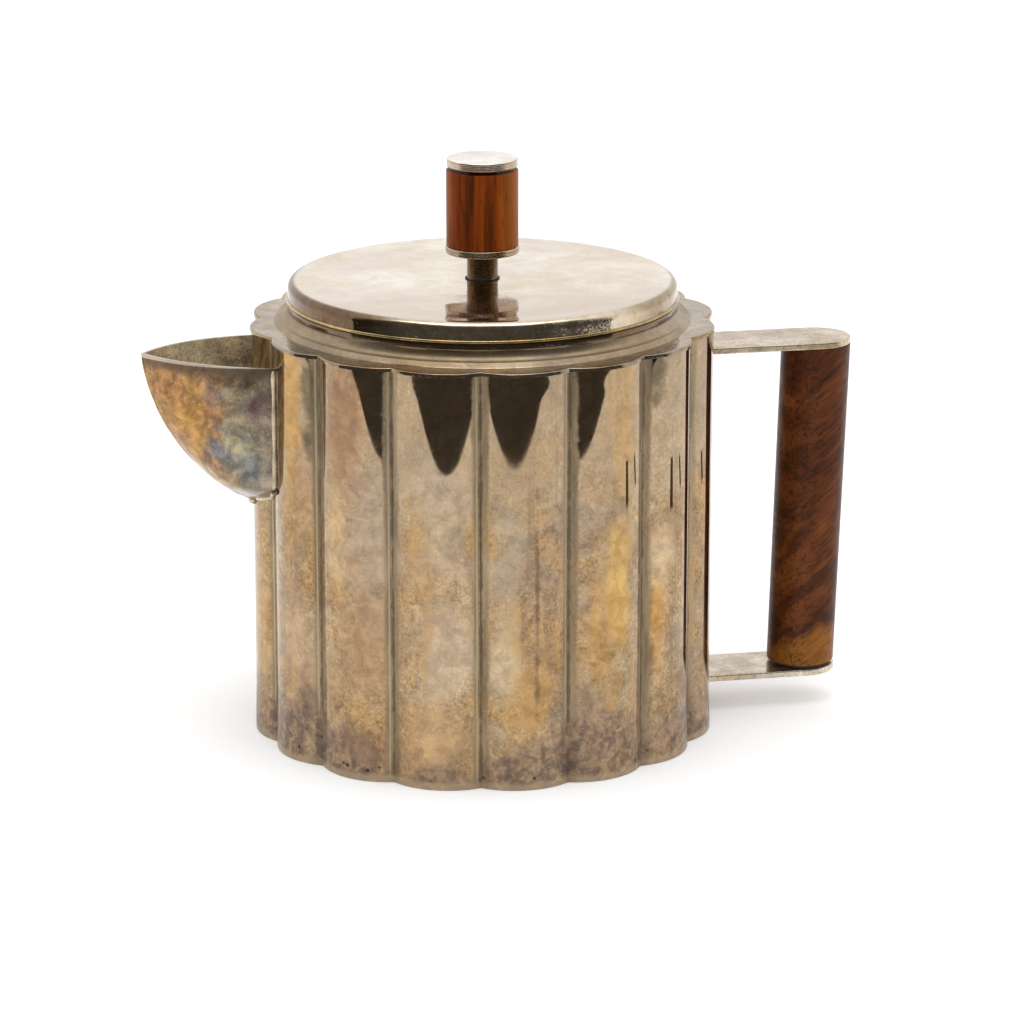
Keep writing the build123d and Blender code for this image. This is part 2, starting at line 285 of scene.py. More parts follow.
# ==== Material nodes ====
SOCKETS = {"colour": "Base Color", "rough": "Roughness", "metal": "Metallic", "normal": "Normal",
           "specular": "Specular IOR Level", "glow": "Emission Color", "glow_strength": "Emission Strength"}


class Finish:
    """A node material, with short names for the nodes it needs."""

    def __init__(self, name):
        self.material = bpy.data.materials.new(name)
        self.material.use_nodes = True
        self.tree = self.material.node_tree
        self.tree.nodes.clear()
        self.shader = self.node("BsdfPrincipled")
        self.node("OutputMaterial", Surface=self.shader.outputs[0])
        self.coord = self.node("TexCoord").outputs["Object"]

    def feed(self, socket, value):
        if isinstance(value, bpy.types.NodeSocket):
            self.tree.links.new(value, socket)
        else:
            socket.default_value = value

    def node(self, kind, **inputs):
        """A new shader node, with its inputs fed by name."""
        node = self.tree.nodes.new("ShaderNode" + kind)
        for name, value in inputs.items():
            self.feed(node.inputs[name], value)
        return node

    def math(self, operation, a, b=0, clamp=False):
        node = self.node("Math")
        node.operation = operation
        node.use_clamp = clamp
        for socket, value in zip(node.inputs, (a, b)):
            self.feed(socket, value)
        return node.outputs[0]

    def plus(self, a, b, clamp=False):
        return self.math("ADD", a, b, clamp)

    def minus(self, a, b):
        return self.math("SUBTRACT", a, b)

    def times(self, a, b):
        return self.math("MULTIPLY", a, b)

    def swing(self, field, reach):
        """A noise moved to vary about zero, times reach."""
        return self.times(self.minus(field, 0.5), reach)

    def mm(self, length):
        """Metres to millimetres."""
        return self.times(length, 1 / MM)

    def span(self, value, low, high, to_low=0, to_high=1):
        """Smooth step from one range to another."""
        node = self.node("MapRange")
        node.interpolation_type = "SMOOTHSTEP"
        for socket, entry in zip(node.inputs, (value, low, high, to_low, to_high)):
            self.feed(socket, entry)
        return node.outputs[0]

    def place(self, scale=(1, 1, 1), turn=(0, 0, 0), move=(0, 0, 0), vector=None):
        """Object coordinates, or another vector, scaled, turned by degrees and moved."""
        vector = self.coord if vector is None else vector
        turn = [math.radians(t) for t in turn]
        return self.node("Mapping", Vector=vector, Location=move, Rotation=turn, Scale=scale).outputs[0]

    def noise(self, size, detail=3, rough=0.55, warp=0, seed=0, **mapping):
        """Noise whose features are about size millimetres across."""
        at = self.place(move=(seed, seed * 0.7, -seed * 0.4), **mapping)
        return self.node("TexNoise", Vector=at, Scale=1 / (size * MM), Detail=detail,
                         Roughness=rough, Distortion=warp).outputs["Fac"]

    def cells(self, size, seed):
        """Distance from scattered points about size millimetres apart."""
        at = self.place(move=(seed, seed, seed))
        return self.node("TexVoronoi", Vector=at, Scale=1 / (size * MM)).outputs["Distance"]

    def mix(self, share, a, b):
        node = self.node("Mix")
        node.data_type = "RGBA"
        self.feed(node.inputs[0], share)
        for socket, value in zip(node.inputs[6:8], (a, b)):
            self.feed(socket, value if isinstance(value, bpy.types.NodeSocket) else (*value, 1))
        return node.outputs[2]

    def scale(self, colour, factor):
        """Colour times a factor."""
        node = self.node("VectorMath")
        node.operation = "SCALE"
        self.feed(node.inputs[0], colour)
        self.feed(node.inputs["Scale"], factor)
        return node.outputs[0]

    def lay(self, share, over, strength=None):
        """Lay a colour over the finish's own, where share is high."""
        if strength is not None:
            share = self.times(share, strength)
        self.colour = self.mix(share, self.colour, over)

    def shade(self, factor):
        """Multiply the finish's own colour."""
        self.colour = self.scale(self.colour, factor)

    def ramp(self, value, stops):
        node = self.node("ValToRGB", Fac=value)
        elements = node.color_ramp.elements
        while len(elements) < len(stops):
            elements.new(0.5)
        for element, (at, colour) in zip(elements, stops):
            element.position = at
            element.color = (*colour, 1)
        return node.outputs["Color"]

    def axes(self):
        return self.node("SeparateXYZ", Vector=self.coord).outputs

    def bump(self, height, depth, strength=1):
        """Bump of a height, depth millimetres for each unit."""
        return self.node("Bump", Distance=depth * MM, Strength=strength, Height=height).outputs["Normal"]

    def put(self, **values):
        """Feed the shader's sockets, by the short names in SOCKETS, and give the material."""
        for key, value in values.items():
            self.feed(self.shader.inputs[SOCKETS[key]], value)
        return self.material


def strokes(mat, size, turn, seed):
    """Fine wiped marks: long thin streaks, in one direction."""
    streak = mat.noise(size, 2, 0.6, 0.4, seed, scale=(1, 1, 0.07), vector=mat.place(turn=turn))
    return mat.span(streak, 0.58, 0.68)


# ---- Silver ----
def silver(name, colours, speckle=0.3, marks=0.35, rough=(0.05, 0.14), depth=1, seed=0, matt=0.14):
    """Tarnished silver plate and its roughness, to be finished by the caller.

    speckle and marks are the strength of dark specks and of wiped marks, depth that of the
    cloudiness. matt roughens the specks. The noises stay on the finish, for patches that follow
    the same pattern.
    """
    clean, warm, golden, lilac = colours
    mat = Finish(name)
    mat.broad = mat.noise(30, 3, 0.55, 0.8, seed + 1)
    mat.middle = mat.noise(15, 4, 0.56, 0.7, seed + 4)
    mat.small = mat.noise(4.2, 5, 0.66, 0.5, seed + 7)
    mat.fine = mat.noise(0.75, 3, 0.7, 0.3, seed + 9)
    mat.other = mat.noise(20, 4, 0.56, 0.7, seed + 13)
    mat.colour = mat.mix(mat.span(mat.broad, 0.38, 0.6), clean, warm)
    mat.lay(mat.span(mat.middle, 0.48, 0.7, 0, 0.8), golden)
    mat.lay(mat.span(mat.other, 0.5, 0.68, 0, 0.8), lilac)
    shade = mat.plus(mat.span(mat.small, 0.3, 0.7, 1 - 0.26 * depth, 1 + 0.16 * depth),
                     mat.span(mat.fine, 0.3, 0.7, -0.22 * depth, 0.2 * depth))
    mat.shade(shade)
    spots = mat.span(mat.times(mat.fine, mat.other), 0.27, 0.36)
    mat.lay(spots, (0.13, 0.085, 0.05), speckle)
    wiped = strokes(mat, 1.5, (38, 0, 24), seed + 2)
    for size, turn, shift in ((1.1, (-52, 12, 0), 5), (0.8, (64, 30, 0), 8)):
        wiped = mat.math("MAXIMUM", wiped, strokes(mat, size, turn, seed + shift))
    wiped = mat.times(wiped, mat.span(mat.noise(15, 3, seed=seed + 21), 0.46, 0.58))
    mat.lay(wiped, mat.scale(mat.colour, 1.55), marks)
    dull = mat.plus(mat.span(mat.middle, 0.3, 0.7, *rough), mat.times(spots, matt))
    return mat, dull


def finish_silver(mat, dull, metal, relief):
    """The material of a silver, with relief millimetres of fine unevenness."""
    height = mat.plus(mat.middle, mat.times(mat.fine, 0.12))
    normal = mat.bump(height, relief)
    return mat.put(colour=mat.colour, rough=dull, metal=metal, normal=normal)


# Four tints of each silver: clean metal, warm, golden and lilac
WALL_TINTS = ((0.405, 0.302, 0.188), (0.35, 0.23, 0.125), (0.42, 0.26, 0.106), (0.33, 0.245, 0.17))
LID_TINTS = ((0.87, 0.79, 0.67), (0.74, 0.61, 0.47), (0.68, 0.54, 0.39), (0.8, 0.67, 0.58))
SHOULDER_TINTS = ((0.4, 0.32, 0.23), (0.33, 0.23, 0.13), (0.38, 0.26, 0.12), (0.34, 0.28, 0.22))
SPOUT_TINTS = ((0.44, 0.32, 0.18), (0.42, 0.23, 0.08), (0.5, 0.24, 0.04), (0.3, 0.22, 0.18))
INSIDE_TINTS = ((0.9, 0.77, 0.52), (0.72, 0.56, 0.34), (0.8, 0.58, 0.3), (0.76, 0.66, 0.48))
# Metals with no pattern of their own: seed, tints and what differs from the usual plate
PLAIN = {
    "base_silver": (61, WALL_TINTS, {"rough": (0.25, 0.4)}),
    "strap_silver": (29, ((0.66, 0.57, 0.45), (0.55, 0.43, 0.3), (0.5, 0.37, 0.22), (0.55, 0.48, 0.41)),
                     {"speckle": 0.2, "rough": (0.16, 0.3)}),
    "cap": (67, ((0.88, 0.82, 0.75), (0.82, 0.74, 0.64), (0.78, 0.68, 0.56), (0.82, 0.74, 0.68)),
            {"speckle": 0.05, "depth": 0.4, "rough": (0.08, 0.16)}),
    "rim_brass": (43, ((0.62, 0.46, 0.22), (0.5, 0.34, 0.13), (0.6, 0.38, 0.12), (0.45, 0.34, 0.2)),
                  {"speckle": 0.2}),
    "knob_silver": (47, ((0.58, 0.48, 0.36), (0.44, 0.33, 0.22), (0.44, 0.31, 0.17), (0.52, 0.43, 0.34)),
                    {"speckle": 0.15, "rough": (0.14, 0.26)}),
    "stem_brass": (53, ((0.3, 0.21, 0.11), (0.2, 0.13, 0.06), (0.34, 0.22, 0.09), (0.22, 0.16, 0.11)),
                   {"rough": (0.22, 0.4)}),
    "rod_steel": (59, ((0.45, 0.42, 0.38), (0.34, 0.28, 0.22), (0.38, 0.3, 0.2), (0.4, 0.37, 0.34)),
                  {"rough": (0.28, 0.42)}),
    "seam": (83, ((0.84, 0.72, 0.56), (0.68, 0.55, 0.4), (0.62, 0.46, 0.28), (0.6, 0.52, 0.45)),
             {"relief": 0.02, "metal": 0.5, "rough": (0.3, 0.45)}),
    "burnt": (87, ((0.26, 0.2, 0.14), (0.15, 0.11, 0.08), (0.3, 0.21, 0.12), (0.2, 0.16, 0.14)),
              {"relief": 0.05, "metal": 0.7, "rough": (0.35, 0.55)}),
}
GRIP_TONES = ((0.34, (0.04, 0.014, 0.006)), (0.45, (0.072, 0.02, 0.006)),
              (0.55, (0.115, 0.032, 0.008)), (0.66, (0.165, 0.052, 0.011)))
BARREL_TONES = ((0.36, (0.06, 0.016, 0.003)), (0.46, (0.15, 0.026, 0.002)),
                (0.56, (0.22, 0.048, 0.003)), (0.66, (0.3, 0.09, 0.008)))

# Stains on the wall: middle, half width, half height (mm), tint, strength
STAINS = (
    ((-41.5, -40.5, 89), 6.5, 30, (0.29, 0.155, 0.085), 0.75),
    ((-52.3, -24.7, 88), 3.6, 34, (0.47, 0.275, 0.095), 0.8),
    ((-50.3, -27.3, 65), 6, 14, (0.36, 0.22, 0.11), 0.7),
    ((-43.2, -38.3, 60), 4.5, 20, (0.54, 0.37, 0.19), 0.75),
    ((-36.4, -44.3, 57), 9, 22, (0.37, 0.285, 0.2), 0.7),
    ((-40.3, -41.7, 36), 8, 16, (0.38, 0.235, 0.125), 0.65),
    ((-23.2, -53.1, 44), 8, 18, (0.39, 0.26, 0.155), 0.55),
    ((-18.1, -54.7, 37), 8, 12, (0.5, 0.385, 0.265), 0.6),
    ((-23.4, -53, 13), 9, 9, (0.52, 0.335, 0.175), 0.65),
    ((-19.3, -54.5, 72), 9, 18, (0.42, 0.325, 0.225), 0.6),
    ((-5.7, -57, 32), 5, 20, (0.51, 0.4, 0.27), 0.7),
    ((1.6, -57.9, 21), 7, 12, (0.45, 0.255, 0.085), 0.65),
    ((-5.7, -57, 63), 7, 14, (0.38, 0.315, 0.225), 0.6),
    ((23.4, -53, 49), 4.5, 18, (0.56, 0.345, 0.115), 0.75),
    ((18.7, -54.6, 33), 6, 18, (0.44, 0.255, 0.085), 0.65),
    ((25, -52.1, 86), 4, 24, (0.44, 0.27, 0.105), 0.65),
    ((34.9, -44.9, 38), 4, 14, (0.46, 0.24, 0.065), 0.75),
    ((36.7, -44.1, 54), 6, 10, (0.62, 0.47, 0.3), 0.65),
    ((31.8, -46.4, 34), 2.4, 40, (0.17, 0.125, 0.075), 0.7),
    ((-51.6, -25.8, 30), 6, 20, (0.44, 0.3, 0.185), 0.6),
    ((-57, -5.7, 31), 5, 26, (0.49, 0.31, 0.135), 0.6),
    ((-50, -27.6, 13), 7, 8, (0.15, 0.095, 0.075), 0.6),
    ((-37.5, -43.7, 9), 12, 8, (0.17, 0.1, 0.075), 0.55),
    ((2.4, -57.8, 50), 0.8, 30, (0.15, 0.095, 0.06), 0.75),
    ((-48.4, -30.6, 92), 2.8, 18, (0.12, 0.095, 0.062), 0.85),
    ((34.1, -45.4, 98), 3.2, 9, (0.13, 0.1, 0.065), 0.85),
)
SPOUT_STAINS = (
    ((-75, -9, 83), 7, 9, (0.54, 0.285, 0.075), 0.7),
    ((-80, -6, 92), 7, 7, (0.34, 0.155, 0.06), 0.65),
    ((-64.5, -14, 89), 4, 9, (0.38, 0.315, 0.185), 0.65),
    ((-68.1, -12, 91.5), 4, 4, (0.2, 0.175, 0.165), 0.6),
    ((-67.6, -12, 84.5), 3.2, 10, (0.22, 0.125, 0.12), 0.6),
    ((-64.1, -14, 78.3), 4.5, 4, (0.4, 0.345, 0.19), 0.7),
    ((-68.4, -12, 76), 5.5, 4.5, (0.165, 0.18, 0.215), 0.75),
    ((-60, -15, 73), 6, 5, (0.175, 0.185, 0.195), 0.65),
    ((-58.7, -16, 87.5), 3.4, 4.2, (0.16, 0.085, 0.095), 0.85),
    ((-57, -16.5, 80), 2.2, 14, (0.33, 0.27, 0.205), 0.75),
    ((-62.6, -14, 95), 8, 3.2, (0.24, 0.155, 0.085), 0.65),
    ((-72, -11, 96.3), 13, 2.2, (0.2, 0.12, 0.07), 0.6),
    ((-70.3, -10, 73.5), 5, 2.6, (0.42, 0.205, 0.085), 0.65),
    ((-66, -8, 68), 9, 3.4, (0.56, 0.415, 0.235), 0.8),
)


def stain(mat, at, wide, high, warp):
    """Soft ragged patch round a point, as a share."""
    size = (wide, wide, high)
    spread = mat.place(scale=[1 / (s * MM) for s in size], move=[-c / s for c, s in zip(at, size)])
    reach = mat.node("VectorMath")
    reach.operation = "LENGTH"
    mat.feed(reach.inputs[0], spread)
    return mat.span(mat.plus(reach.outputs["Value"], warp), 1.2, 0.3)


def add_stains(mat, stains):
    """Lay stains over the colour, all with the same ragged edges and grain."""
    warp = mat.swing(mat.middle, 2.6)
    warp = mat.plus(warp, mat.minus(mat.small, 0.5))
    grain = mat.span(mat.small, 0.32, 0.68, 0.8, 1.18)
    for at, wide, high, tint, strength in stains:
        share = mat.times(stain(mat, at, wide, high, warp), strength)
        mat.lay(share, mat.scale(tint, grain))


def wall_finish():
    """Dull, stained plate: bright above, crusted at the foot, with an olive-grey deposit beside the grooves
    that is also painted shade, and a painted highlight line at one side of each groove.
    """
    mat, dull = silver("wall_silver_look", WALL_TINTS, speckle=0.15, marks=0.5,
                      rough=(0.01, 0.05), depth=1.15, seed=3, matt=0.02)
    x, y, z = mat.axes()
    up = mat.mm(z)
    lobes_on = mat.times(mat.math("ARCTAN2", y, x), LOBES / FULL_TURN)
    off_crest = mat.math("PINGPONG", lobes_on, 0.5)  # 0 on a crest, 0.5 in a groove
    centred = mat.minus(mat.small, 0.5)
    # golden and brown upright runs, some of them on one flank of a lobe only
    runs = mat.noise(6.5, 4, 0.6, 0.6, 31, scale=(1, 1, 0.12))
    mat.lay(mat.span(runs, 0.54, 0.66, 0, 0.6), (0.5, 0.3, 0.1))
    browns = mat.noise(4.2, 4, 0.6, 0.6, 34, scale=(1, 1, 0.06))
    mat.lay(mat.span(browns, 0.56, 0.7, 0, 0.6), (0.22, 0.145, 0.08))
    # the upper part is cleaner
    ragged = mat.plus(up, mat.times(centred, 30))
    mat.lay(mat.span(ragged, 58, 82, 0, 0.45), (0.4, 0.31, 0.21))
    add_stains(mat, STAINS)
    # pale worn grains, and dark ones
    worn_grain = mat.noise(1.5, 3, 0.6, 0.4, 44)
    worn = mat.times(mat.span(worn_grain, 0.58, 0.68), mat.span(mat.other, 0.36, 0.6))
    mat.lay(worn, mat.scale(mat.colour, 1.5), 0.4)
    dark = mat.times(mat.span(worn_grain, 0.42, 0.33), mat.span(mat.middle, 0.36, 0.6))
    mat.lay(dark, mat.scale(mat.colour, 0.55), 0.4)
    # olive-grey deposit beside the grooves, which also paints the shade on the lobes' flanks there, dark in
    # the groove itself, with a painted highlight line on one side
    along = mat.noise(5, 4, 0.6, 0.5, 47, scale=(1, 1, 0.16))
    edge = mat.plus(off_crest, mat.times(centred, 0.1))
    deposit_and_shade = mat.span(edge, 0.385, 0.445)
    deposit_and_shade_colour = mat.mix(mat.span(along, 0.36, 0.62), (0.165, 0.118, 0.062), (0.36, 0.275, 0.165))
    mat.lay(deposit_and_shade, deposit_and_shade_colour, 0.62)
    # painted highlight: a pale line just before each groove, on one side only
    past_groove = mat.math("FRACT", mat.plus(lobes_on, LOBES + 0.5))
    line = mat.span(mat.math("ABSOLUTE", mat.minus(past_groove, 0.958)), 0.012, 0.004)
    mat.lay(line, (0.55, 0.46, 0.31), 0.55)
    mat.lay(mat.span(edge, 0.475, 0.497, 0, 0.8), (0.11, 0.08, 0.048))
    # dark crust near the foot
    creep = mat.plus(up, mat.swing(mat.broad, 46))
    crust = mat.span(mat.plus(creep, mat.times(centred, 16)), 14, 2)
    grain = mat.noise(2.6, 5, 0.7, 0.5, 41)
    crust_colour = mat.ramp(grain, [(0.3, (0.085, 0.06, 0.06)), (0.46, (0.19, 0.13, 0.105)),
                                    (0.58, (0.36, 0.24, 0.14)), (0.72, (0.46, 0.38, 0.29))])
    mat.lay(crust, crust_colour, 0.85)
    pits = mat.times(mat.span(mat.cells(2.6, 7), 0.24, 0.12),
                     mat.span(mat.math("ABSOLUTE", mat.minus(up, 3.2)), 1.3, 0.6))
    mat.lay(pits, (0.03, 0.022, 0.018), 0.85)
    foot = mat.span(mat.plus(up, mat.times(centred, 3)), 2.6, 1.2)
    mat.lay(foot, (0.5, 0.39, 0.25), 0.5)
    dull = mat.plus(dull, mat.times(crust, 0.2), clamp=True)
    dull = mat.plus(dull, mat.span(up, 62, 20, 0, 0.12))
    dull = mat.plus(dull, mat.times(deposit_and_shade, 0.3), clamp=True)
    metal = mat.minus(0.985, mat.times(deposit_and_shade, 0.22))
    height = mat.plus(mat.noise(11, 0, 0.5, 0, 71), mat.times(mat.fine, 0.03))
    height = mat.plus(height, mat.times(mat.times(grain, crust), 1.5))
    return mat.put(colour=mat.colour, rough=dull, metal=metal, normal=mat.bump(height, 0.008))


def inside_finish():
    """Dull brown-grey film on the inner faces of the wall and the spout."""
    mat, dull = silver("inside_look", INSIDE_TINTS, speckle=0.8, depth=1.7,
                      rough=(0.38, 0.52), seed=91)
    return finish_silver(mat, dull, 0.25, 0.02)


def shoulder_finish():
    """Satin plate, rougher on the step and the cove, with painted shade on the collar under the lid's rim.
    """
    mat, dull = silver("shoulder_silver_look", SHOULDER_TINTS, speckle=0.2,
                      rough=(0.05, 0.13), seed=23)
    up = mat.mm(mat.axes()[2])
    moulded = mat.minus(mat.span(up, 104.02, 104.2), mat.span(up, 107, 107.6))
    dull = mat.plus(dull, mat.times(moulded, 0.34))
    mat.lay(moulded, (0.42, 0.32, 0.205), 0.5)
    # painted shade: the collar is darkened where the lid's rim shades it
    collar = mat.span(up, 106.9, 107.6)
    mat.lay(collar, (0.125, 0.082, 0.048), 0.8)
    return finish_silver(mat, dull, 0.96, 0.008)


def plain_silver(name, seed, tints, relief=0.008, metal=0.94, **extra):
    """Silver, brass or steel with no pattern of its own."""
    mat, dull = silver(name, tints, seed=seed, **extra)
    return finish_silver(mat, dull, metal, relief)


def spout_finish():
    """Heat bloom: amber at the tip, through violet and blue-green to grey at the wall."""
    mat, dull = silver("spout_silver_look", SPOUT_TINTS, marks=0.5, depth=1.3,
                      rough=(0.16, 0.3), seed=17)
    x, _, z = mat.axes()
    reach = mat.times(x, -1 / MM)  # distance from the axis, outwards
    swirl = mat.noise(8, 5, 0.62, 0.9, 51)
    drift = mat.plus(reach, mat.swing(swirl, 34))
    drift = mat.plus(drift, mat.times(z, 60))
    heat = mat.ramp(mat.span(drift, 56, 88), [
        (0.00, (0.3, 0.25, 0.18)), (0.14, (0.2, 0.2, 0.165)), (0.26, (0.145, 0.185, 0.19)),
        (0.38, (0.27, 0.26, 0.16)), (0.48, (0.2, 0.125, 0.125)), (0.6, (0.4, 0.2, 0.07)),
        (0.74, (0.54, 0.29, 0.075)), (0.88, (0.36, 0.17, 0.06)), (1.00, (0.48, 0.26, 0.09))])
    mat.lay(0.7, heat)
    add_stains(mat, SPOUT_STAINS)
    mat.shade(mat.span(mat.small, 0.34, 0.66, 0.66, 1.12))
    spots = mat.span(mat.noise(1.5, 4, 0.72, 0.8, 55), 0.54, 0.64)
    spots = mat.times(spots, mat.span(swirl, 0.42, 0.54))
    mat.lay(spots, (0.19, 0.095, 0.1), 0.42)
    pale = mat.span(mat.noise(0.9, 3, 0.65, 0.4, 58), 0.6, 0.68)
    mat.lay(pale, (0.62, 0.47, 0.31), 0.4)
    rim = mat.span(mat.plus(mat.mm(z), mat.small), 95, 97.8)
    mat.lay(rim, (0.1, 0.07, 0.05), 0.75)
    edge = mat.span(mat.mm(z), 97.85, 98)
    mat.lay(edge, (0.54, 0.45, 0.35), 0.85)
    return finish_silver(mat, dull, 0.82, 0.014)


def lid_finish():
    """Bright top with soft brown clouds and a painted reflection that darkens its front, and brown tarnish
    on the rolled and the upright edge.
    """
    mat, dull = silver("lid_silver_look", LID_TINTS, speckle=0.1, marks=0.15,
                      rough=(0.03, 0.08), depth=0.3, seed=37)
    x, y, z = mat.axes()
    ragged = mat.plus(mat.mm(z), mat.swing(mat.middle, 1.2))
    side = mat.span(ragged, 113.8, 113)
    radius = mat.math("SQRT", mat.plus(mat.times(x, x), mat.times(y, y)))
    rolled = mat.span(mat.mm(radius), 46, 47.2)
    side = mat.math("MAXIMUM", side, rolled)
    bend = mat.times(rolled, mat.span(mat.mm(z), 112.2, 113))
    dull = mat.plus(dull, mat.times(bend, 0.14))
    # the front of the top is a little darker, a painted reflection; the side is darkest towards the spout
    front = mat.times(y, -1 / MM)
    painted_front_reflection = mat.plus(front, mat.swing(mat.other, 30))
    mat.lay(mat.span(painted_front_reflection, 6, 42, 0, 0.9), (0.6, 0.475, 0.37))
    towards_spout = mat.span(mat.times(x, -1 / MM), 26, 40)
    patchy = mat.span(mat.other, 0.4, 0.6)
    brown = mat.mix(patchy, (0.305, 0.225, 0.135), (0.385, 0.295, 0.19))
    brown = mat.mix(mat.span(front, 34, 42), brown, (0.69, 0.58, 0.43))
    brown = mat.mix(towards_spout, brown, (0.15, 0.088, 0.046))
    brown = mat.scale(brown, mat.span(mat.small, 0.3, 0.7, 0.8, 1.2))
    mat.lay(side, brown, 0.95)
    return finish_silver(mat, dull, 1, 0.003)


# ---- Wood ----
def wood(name, tones, seed, wave, lean=(0, 0, 0), figure=0.35, stretch=0.22, twist=2, gloss=0.1,
         sapwood=None, lighter=None):
    """Polished rosewood: dark wandering bands over fine fibres and pores, along Z.

    sapwood is the height and the tint of a paler foot. lighter is where along X a lighter side
    begins and is full, and its tint.
    """
    mat = Finish(name)
    along = mat.place(turn=lean)
    band = mat.noise(wave, 4, 0.55, twist, seed, scale=(1, 1, stretch), vector=along)
    cloud = mat.noise(17, 3, 0.5, 0.6 * twist, seed + 5, scale=(1, 1, 3 * stretch))
    level = mat.plus(mat.times(band, 1 - figure), mat.times(cloud, figure))
    mat.colour = mat.ramp(level, tones)
    if sapwood:
        top, pale = sapwood
        ragged = mat.plus(mat.mm(mat.axes()[2]), mat.swing(cloud, 22))
        mat.lay(mat.span(ragged, top + 4, top - 1, 0, 0.9), pale)
        line = mat.span(mat.math("ABSOLUTE", mat.minus(ragged, top + 5)), 2.6, 0.6)
        mat.lay(line, tones[0][1], 0.75)
    fine = mat.noise(0.9, 3, 0.65, 0.2, seed + 8, scale=(1, 1, 0.045), vector=along)
    mat.shade(mat.span(fine, 0.45, 0.68, 1.06, 0.55))
    if lighter:
        start, full, pale = lighter
        side = mat.span(mat.mm(mat.axes()[0]), start, full)
        mat.lay(side, pale, 0.6)
    pores = mat.noise(0.38, 1, 0.5, 0, seed + 11, scale=(1, 1, 0.07), vector=along)
    pore = mat.span(pores, 0.64, 0.72)
    mat.lay(pore, (0.012, 0.005, 0.003), 0.6)
    normal = mat.bump(mat.minus(fine, mat.times(pore, 0.8)), 0.012, strength=0.5)
    dull = mat.span(fine, 0.3, 0.7, 0.3, 0.4)
    return mat.put(colour=mat.colour, rough=dull, normal=normal, specular=gloss)


def dark_part(name, colour):
    """Nearly black, dull and a little mottled."""
    mat = Finish(name)
    cloud = mat.noise(3, 3, 0.6, 0.3, 2)
    shade = mat.mix(mat.span(cloud, 0.3, 0.7), colour, tuple(1.9 * c for c in colour))
    dull = mat.span(cloud, 0.3, 0.7, 0.45, 0.65)
    return mat.put(colour=shade, rough=dull, metal=0, normal=mat.bump(cloud, 0.02))


look = {
    "wall_silver": wall_finish(),
    "shoulder_silver": shoulder_finish(),
    "spout_silver": spout_finish(),
    "lid_silver": lid_finish(),
    "inside": inside_finish(),
    "shim_dark": dark_part("shim_dark_look", (0.018, 0.014, 0.012)),
    "washer_dark": dark_part("washer_dark_look", (0.02, 0.016, 0.013)),
    "grip_wood": wood("grip_wood_look", GRIP_TONES, 5, 13, lean=(24, -52, 0), figure=0.25,
                      sapwood=(17, (0.24, 0.088, 0.014))),
    "barrel_wood": wood("barrel_wood_look", BARREL_TONES, 15, 6, stretch=0.06, twist=0.6, gloss=0.05,
                        lighter=(1, 8, (0.36, 0.115, 0.012))),
}
for slot, (seed, tints, extra) in PLAIN.items():
    look[slot] = plain_silver(slot + "_look", seed, tints, **extra)
for part in frame["record"]["materials"]:
    for node in frame["nodes"].values():
        for holder in node.material_slots:
            if holder.material and holder.material.name.split(".")[0] == part["slot"]:
                holder.material = look[part["slot"]]


# ==== Pieces ====
WALL_DRAWN_IN = 0.26  # the wall stands this far inside the shoulder plate's edge
# how far each lobe bulges at half height
LOBE_BOWS = (0.04, -0.02, 0.05, 0, 0.03, -0.03, 0.04, 0.02,
             0.03, 0.02, 0.02, 0.13, 0, 0.08, 0.02, -0.02)


def add_wall():
    """Fluted wall sheet, slightly uneven from handwork, with the strainer holes."""
    outer_z = np.linspace(1.2, WALL_TOP - 0.4, 88)
    rows = [(0, 0.35), (0.1, 0.1), (0.4, 0)]
    rows += [(z, 0) for z in outer_z]
    rows += [(WALL_TOP, 0)]
    rows += [(z, SHEET) for z in np.linspace(WALL_TOP, 0, 24)]
    points = np.array([fluted_ring(inset, z) for z, inset in rows])
    height = points[..., 2]
    fade = np.clip(np.minimum(height / 8, (WALL_TOP - height) / 5), 0, 1)
    fade = fade * fade * (3 - 2 * fade)
    middle = np.array([fluted_ring(SHEET / 2, z) for z, _ in rows])
    uneven = 0.022 * waves(middle, 11, 26, (1, 1, 0.22))
    uneven += 0.006 * waves(middle, 12, 12, (1, 1, 0.3))
    lobe = np.round(np.arctan2(middle[..., 1], middle[..., 0]) * LOBES / FULL_TURN).astype(int) % LOBES
    bow = np.array(LOBE_BOWS)[lobe] * np.sin(math.pi * height / WALL_TOP)
    drawn_in = np.clip((height - 2) / 10, 0, 1) * WALL_DRAWN_IN
    points[..., :2] += (uneven * fade + bow - drawn_in)[..., None] * OUT_NORMAL
    faces = grid_faces(len(rows), len(OUT_NORMAL), wrap_rows=True)
    wall = build("fluted_wall", points, faces, "pot", "wall_silver", ("body_wall",))
    punches = strainer_punches()
    cut = wall.modifiers.new("strainer", "BOOLEAN")
    cut.object = punches
    cut.operation = "DIFFERENCE"
    cut.solver = "EXACT"
    bpy.context.view_layer.update()
    cut_mesh = bpy.data.meshes.new_from_object(wall.evaluated_get(bpy.context.evaluated_depsgraph_get()))
    wall.modifiers.clear()
    wall.data = cut_mesh
    bpy.data.objects.remove(punches)
    cut_mesh.materials.append(look["inside"])
    for face in cut_mesh.polygons:
        if face.normal.x * face.center.x + face.normal.y * face.center.y < -0.001:
            face.material_index = 1


